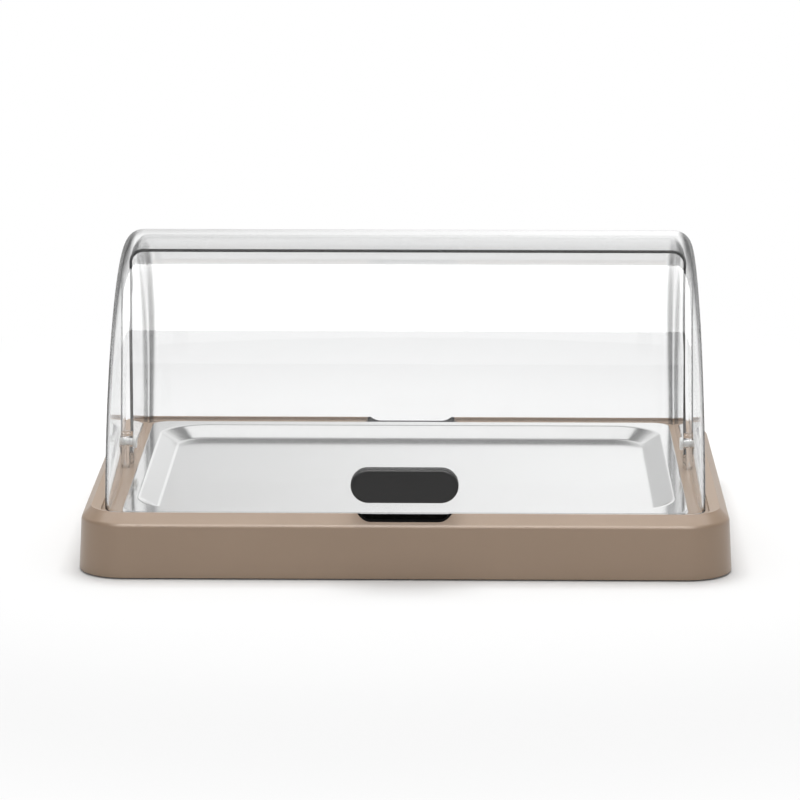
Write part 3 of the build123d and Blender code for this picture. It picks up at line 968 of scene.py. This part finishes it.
plate_edge = (plate_high.x, plate_high.y, plate_corner)
plate_stops = [
    (*plate_face, plate_low.z, 0),
    (*plate_edge, plate_low.z, plate_round),
    (*plate_edge, plate_high.z, plate_round),
    (*plate_face, plate_high.z, 0),
]
bottom = lofted("bottom_plate_moulding", section(plate_stops, steps=3))
hole_radius = screw_radius + 0.0002
sink_stops = [
    disc(screw_head + 0.0003, plate_low.z - 0.0003),
    disc(hole_radius, plate_low.z + head_depth),
    disc(hole_radius, plate_high.z + 0.001),
]
stem_hole = stem_radius + stem_play
stem_stops = [disc(stem_hole, plate_low.z - 0.001), disc(stem_hole, plate_high.z + 0.001)]
tools = [
    lofted("sink", section(sink_stops), centre=place, corner_steps=6) for place in screw_places
]
tools += [lofted("stem", section(stem_stops), centre=place) for place in foot_places.values()]
fit(settle(cut(bottom, *tools)), base_plastic, "base_plastic", "base", "bottom_plate")

# Bottom plate screws: eight countersunk cross-head screws of plated steel. They lie flush with
# the plate and go up into the base.
screw_steel = steel(
    "screw_steel", level=0.6, roughness=0.3, grain_stretch=(1, 1, 1), relief=0.000002
)
blade_long, blade_short, blade_corner = 0.0014, 0.0003, 0.00015


def cross_recess(screw, face, depth):
    """Cuts a cross that deep into an upright screw, whose head's face is at that height."""
    for half_x, half_y in ((blade_long, blade_short), (blade_short, blade_long)):
        low = (-half_x, -half_y, face - 0.001)
        high = (half_x, half_y, face + depth)
        cut(screw, brick("blade", low, high, blade_corner))


def repeated(name, unit, places, material):
    """Copies of the unit at the places, which Geometry Nodes joins into one piece."""
    cloud = bpy.data.meshes.new(name)
    cloud.from_pydata(places, [], [])
    piece = bpy.data.objects.new(name, cloud)
    scene.collection.objects.link(piece)
    group = bpy.data.node_groups.new(name, "GeometryNodeTree")
    sockets = group.interface
    sockets.new_socket("Places", in_out="INPUT", socket_type="NodeSocketGeometry")
    unit_input = sockets.new_socket("Unit", in_out="INPUT", socket_type="NodeSocketObject")
    finish_input = sockets.new_socket("Finish", in_out="INPUT", socket_type="NodeSocketMaterial")
    sockets.new_socket("Copies", in_out="OUTPUT", socket_type="NodeSocketGeometry")
    nodes = group.nodes
    start, end = nodes.new("NodeGroupInput"), nodes.new("NodeGroupOutput")
    points = nodes.new("GeometryNodeMeshToPoints")
    info = nodes.new("GeometryNodeObjectInfo")
    copies = nodes.new("GeometryNodeInstanceOnPoints")
    real = nodes.new("GeometryNodeRealizeInstances")
    coat = nodes.new("GeometryNodeSetMaterial")
    group.links.new(start.outputs["Places"], points.inputs["Mesh"])
    group.links.new(start.outputs["Unit"], info.inputs["Object"])
    group.links.new(points.outputs["Points"], copies.inputs["Points"])
    group.links.new(info.outputs["Geometry"], copies.inputs["Instance"])
    group.links.new(copies.outputs["Instances"], real.inputs["Geometry"])
    group.links.new(real.outputs["Geometry"], coat.inputs["Geometry"])
    group.links.new(start.outputs["Finish"], coat.inputs["Material"])
    group.links.new(coat.outputs["Geometry"], end.inputs["Copies"])
    pattern = piece.modifiers.new(name, "NODES")
    pattern.node_group = group
    pattern[unit_input.identifier] = unit
    pattern[finish_input.identifier] = material
    graph = bpy.context.evaluated_depsgraph_get()
    data = bpy.data.meshes.new_from_object(piece.evaluated_get(graph))
    piece.modifiers.clear()
    piece.data = data
    bpy.data.objects.remove(unit)
    return piece


screw_stops = [
    disc(screw_head * 0.6, plate_low.z),
    disc(screw_head, plate_low.z, 0.00015),
    disc(screw_radius, plate_low.z + head_depth, 0.0002),
    disc(screw_radius, screws_high.z - 0.0008, 0.0003),
    disc(screw_radius * 0.4, screws_high.z),
]
unit = lofted("plate_screw_unit", section(screw_stops, steps=3), corner_steps=8)
cross_recess(unit, plate_low.z, depth=0.0009)
screw_points = [(x, y, 0) for x, y in screw_places]
screws = repeated("bottom_plate_screw_set", unit, screw_points, screw_steel)
fit(settle(screws), screw_steel, "screw_steel", "base", "bottom_plate_screws")

# Rubber feet: four round pads of matt black rubber with a soft edge and a shallow dish. Each
# has a stem that is pushed up into the plate.
soot = (0.012, 0.012, 0.012)
rubber = plastic("foot_rubber", soot, roughness=0.75, grain=0.0008, relief=0.00003)
pad_radius, pad_top = 0.009, plate_low.z
dish_depth, dish_floor, dish_radius = 0.0004, 0.005, 0.0058
for node, place in foot_places.items():
    stem_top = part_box(node)[1].z
    foot_stops = [
        disc(0.003, dish_depth),
        disc(dish_floor, dish_depth, 0.0004),
        disc(dish_radius, 0, 0.0003),
        disc(pad_radius, 0, 0.0006),
        disc(pad_radius, pad_top, 0.0002),
        disc(stem_radius, pad_top, 0.0001),
        disc(stem_radius, stem_top, 0.0004),
        disc(stem_radius / 2, stem_top),
    ]
    foot = lofted(node + "_moulding", section(foot_stops), centre=place)
    fit(settle(foot), rubber, "foot_rubber", "base", node)

# Handle screws and washers: two steel pan-head screws go through the front cover from inside,
# into the handle's back. Each lies on a nylon washer.
ivory = (0.7, 0.7, 0.67)
nylon = plastic("washer_nylon", ivory, roughness=0.45, grain=0.0005, relief=0.00001)
to_front = Matrix.Translation((0, 0, pivot_z)) @ Matrix.Rotation(radians(90), 4, "X")
handle_screw_x = 0.024
low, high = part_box("handle_screws")
shank_end, head_in = -low.y, -high.y
low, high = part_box("handle_washers")
washer_out, washer_in = -low.y, -high.y
washer_radius, washer_bore, washer_round = high.z - pivot_z, 0.00172, 0.00012
washer_stops = [
    disc(washer_bore, washer_in),
    disc(washer_bore, washer_out),
    disc(washer_radius, washer_out, washer_round),
    disc(washer_radius, washer_in, washer_round),
    disc(washer_bore, washer_in),
]
unit = lofted("washer_unit", section(washer_stops, steps=3), to_front, ends=False)
places = [(side * handle_screw_x, 0, 0) for side in (-1, 1)]
washers = repeated("handle_washer_pair", unit, places, nylon)
fit(settle(washers), nylon, "washer_nylon", "front_lid", "handle_washers")
pan_radius, shank_radius = 0.0034, 0.0017
handle_screw_stops = [
    disc(0.0019, head_in),
    disc(pan_radius, head_in, 0.0006),
    disc(pan_radius, washer_in, 0.0001),
    disc(shank_radius, washer_in, 0.0001),
    disc(shank_radius, shank_end, 0.0004),
    disc(0.0008, shank_end),
]
unit = lofted("handle_screw_unit", section(handle_screw_stops, steps=3), corner_steps=8)
cross_recess(unit, head_in, depth=0.0007)
unit.data.transform(to_front)
screws = repeated("handle_screw_pair", unit, places, screw_steel)
fit(settle(screws), screw_steel, "screw_steel", "front_lid", "handle_screws")
